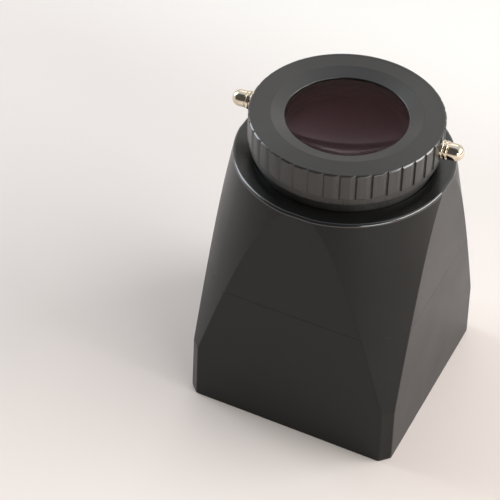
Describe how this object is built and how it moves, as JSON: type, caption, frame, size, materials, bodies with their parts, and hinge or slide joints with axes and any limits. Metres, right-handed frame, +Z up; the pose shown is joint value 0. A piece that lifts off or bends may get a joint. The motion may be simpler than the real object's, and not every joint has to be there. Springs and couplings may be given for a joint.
{
  "type": "loupe",
  "caption": "Film-viewing stand loupe: opaque square-to-round body on a plug-in skirt, knurled focus ring that lifts a keyed lens cell, and ball studs for a neck strap.",
  "frame": {"origin": "centre of the square base, on the plane that lies on the film", "axes": "+Z up along the optical axis, the plain front face looks along -Y, a strap stud points nearly along +X"},
  "size_m": [0.0692, 0.0672, 0.098],
  "materials": {
    "body_plastic": "black, fine satin grain",
    "black_aluminium": "black anodised, satin turned",
    "stud_chrome": "polished nickel",
    "screw_steel": "turned",
    "washer_brass": "rolled",
    "pad_rubber": "matte",
    "felt": "pressed felt",
    "coated_glass": "polished, violet coating",
    "clear_glass": "polished, coated"
  },
  "bodies": {
    "skirt": {"skirt": "body_plastic", "skirt_pads": "pad_rubber"},
    "housing": {"housing": "body_plastic", "barrel": "black_aluminium", "barrel_screws": "screw_steel", "guide_screws": "screw_steel", "felt_seal": "felt"},
    "lens_cell": {"lens_cell": "black_aluminium", "crown_lens": "coated_glass", "flint_lens": "clear_glass", "lens_spacer": "black_aluminium", "field_lens": "clear_glass", "lens_retainer": "black_aluminium", "lens_gasket": "pad_rubber", "bezel_ring": "black_aluminium"},
    "focus_ring": {"focus_ring": "black_aluminium", "thrust_washer": "washer_brass", "ring_cap": "black_aluminium", "stud_left": "stud_chrome", "stud_right": "stud_chrome"}
  },
  "joints": [
    {"name": "housing_lift", "type": "slide", "parent": "skirt", "child": "housing", "axis": [0, 0, 1], "range_m": [0, 0.03]},
    {"name": "cell_slide", "type": "slide", "parent": "housing", "child": "lens_cell", "axis": [0, 0, 1], "range_m": [-0.0025, 0.0015]},
    {"name": "ring_turn", "type": "hinge", "parent": "lens_cell", "child": "focus_ring", "pos_m": [0, 0, 0.0948], "axis": [0, 0, 1], "range_deg": [-150, 90]}
  ],
  "couplings": [
    {"joint": "cell_slide", "follows": "ring_turn", "m_per_rad": 0.00095493}
  ]
}
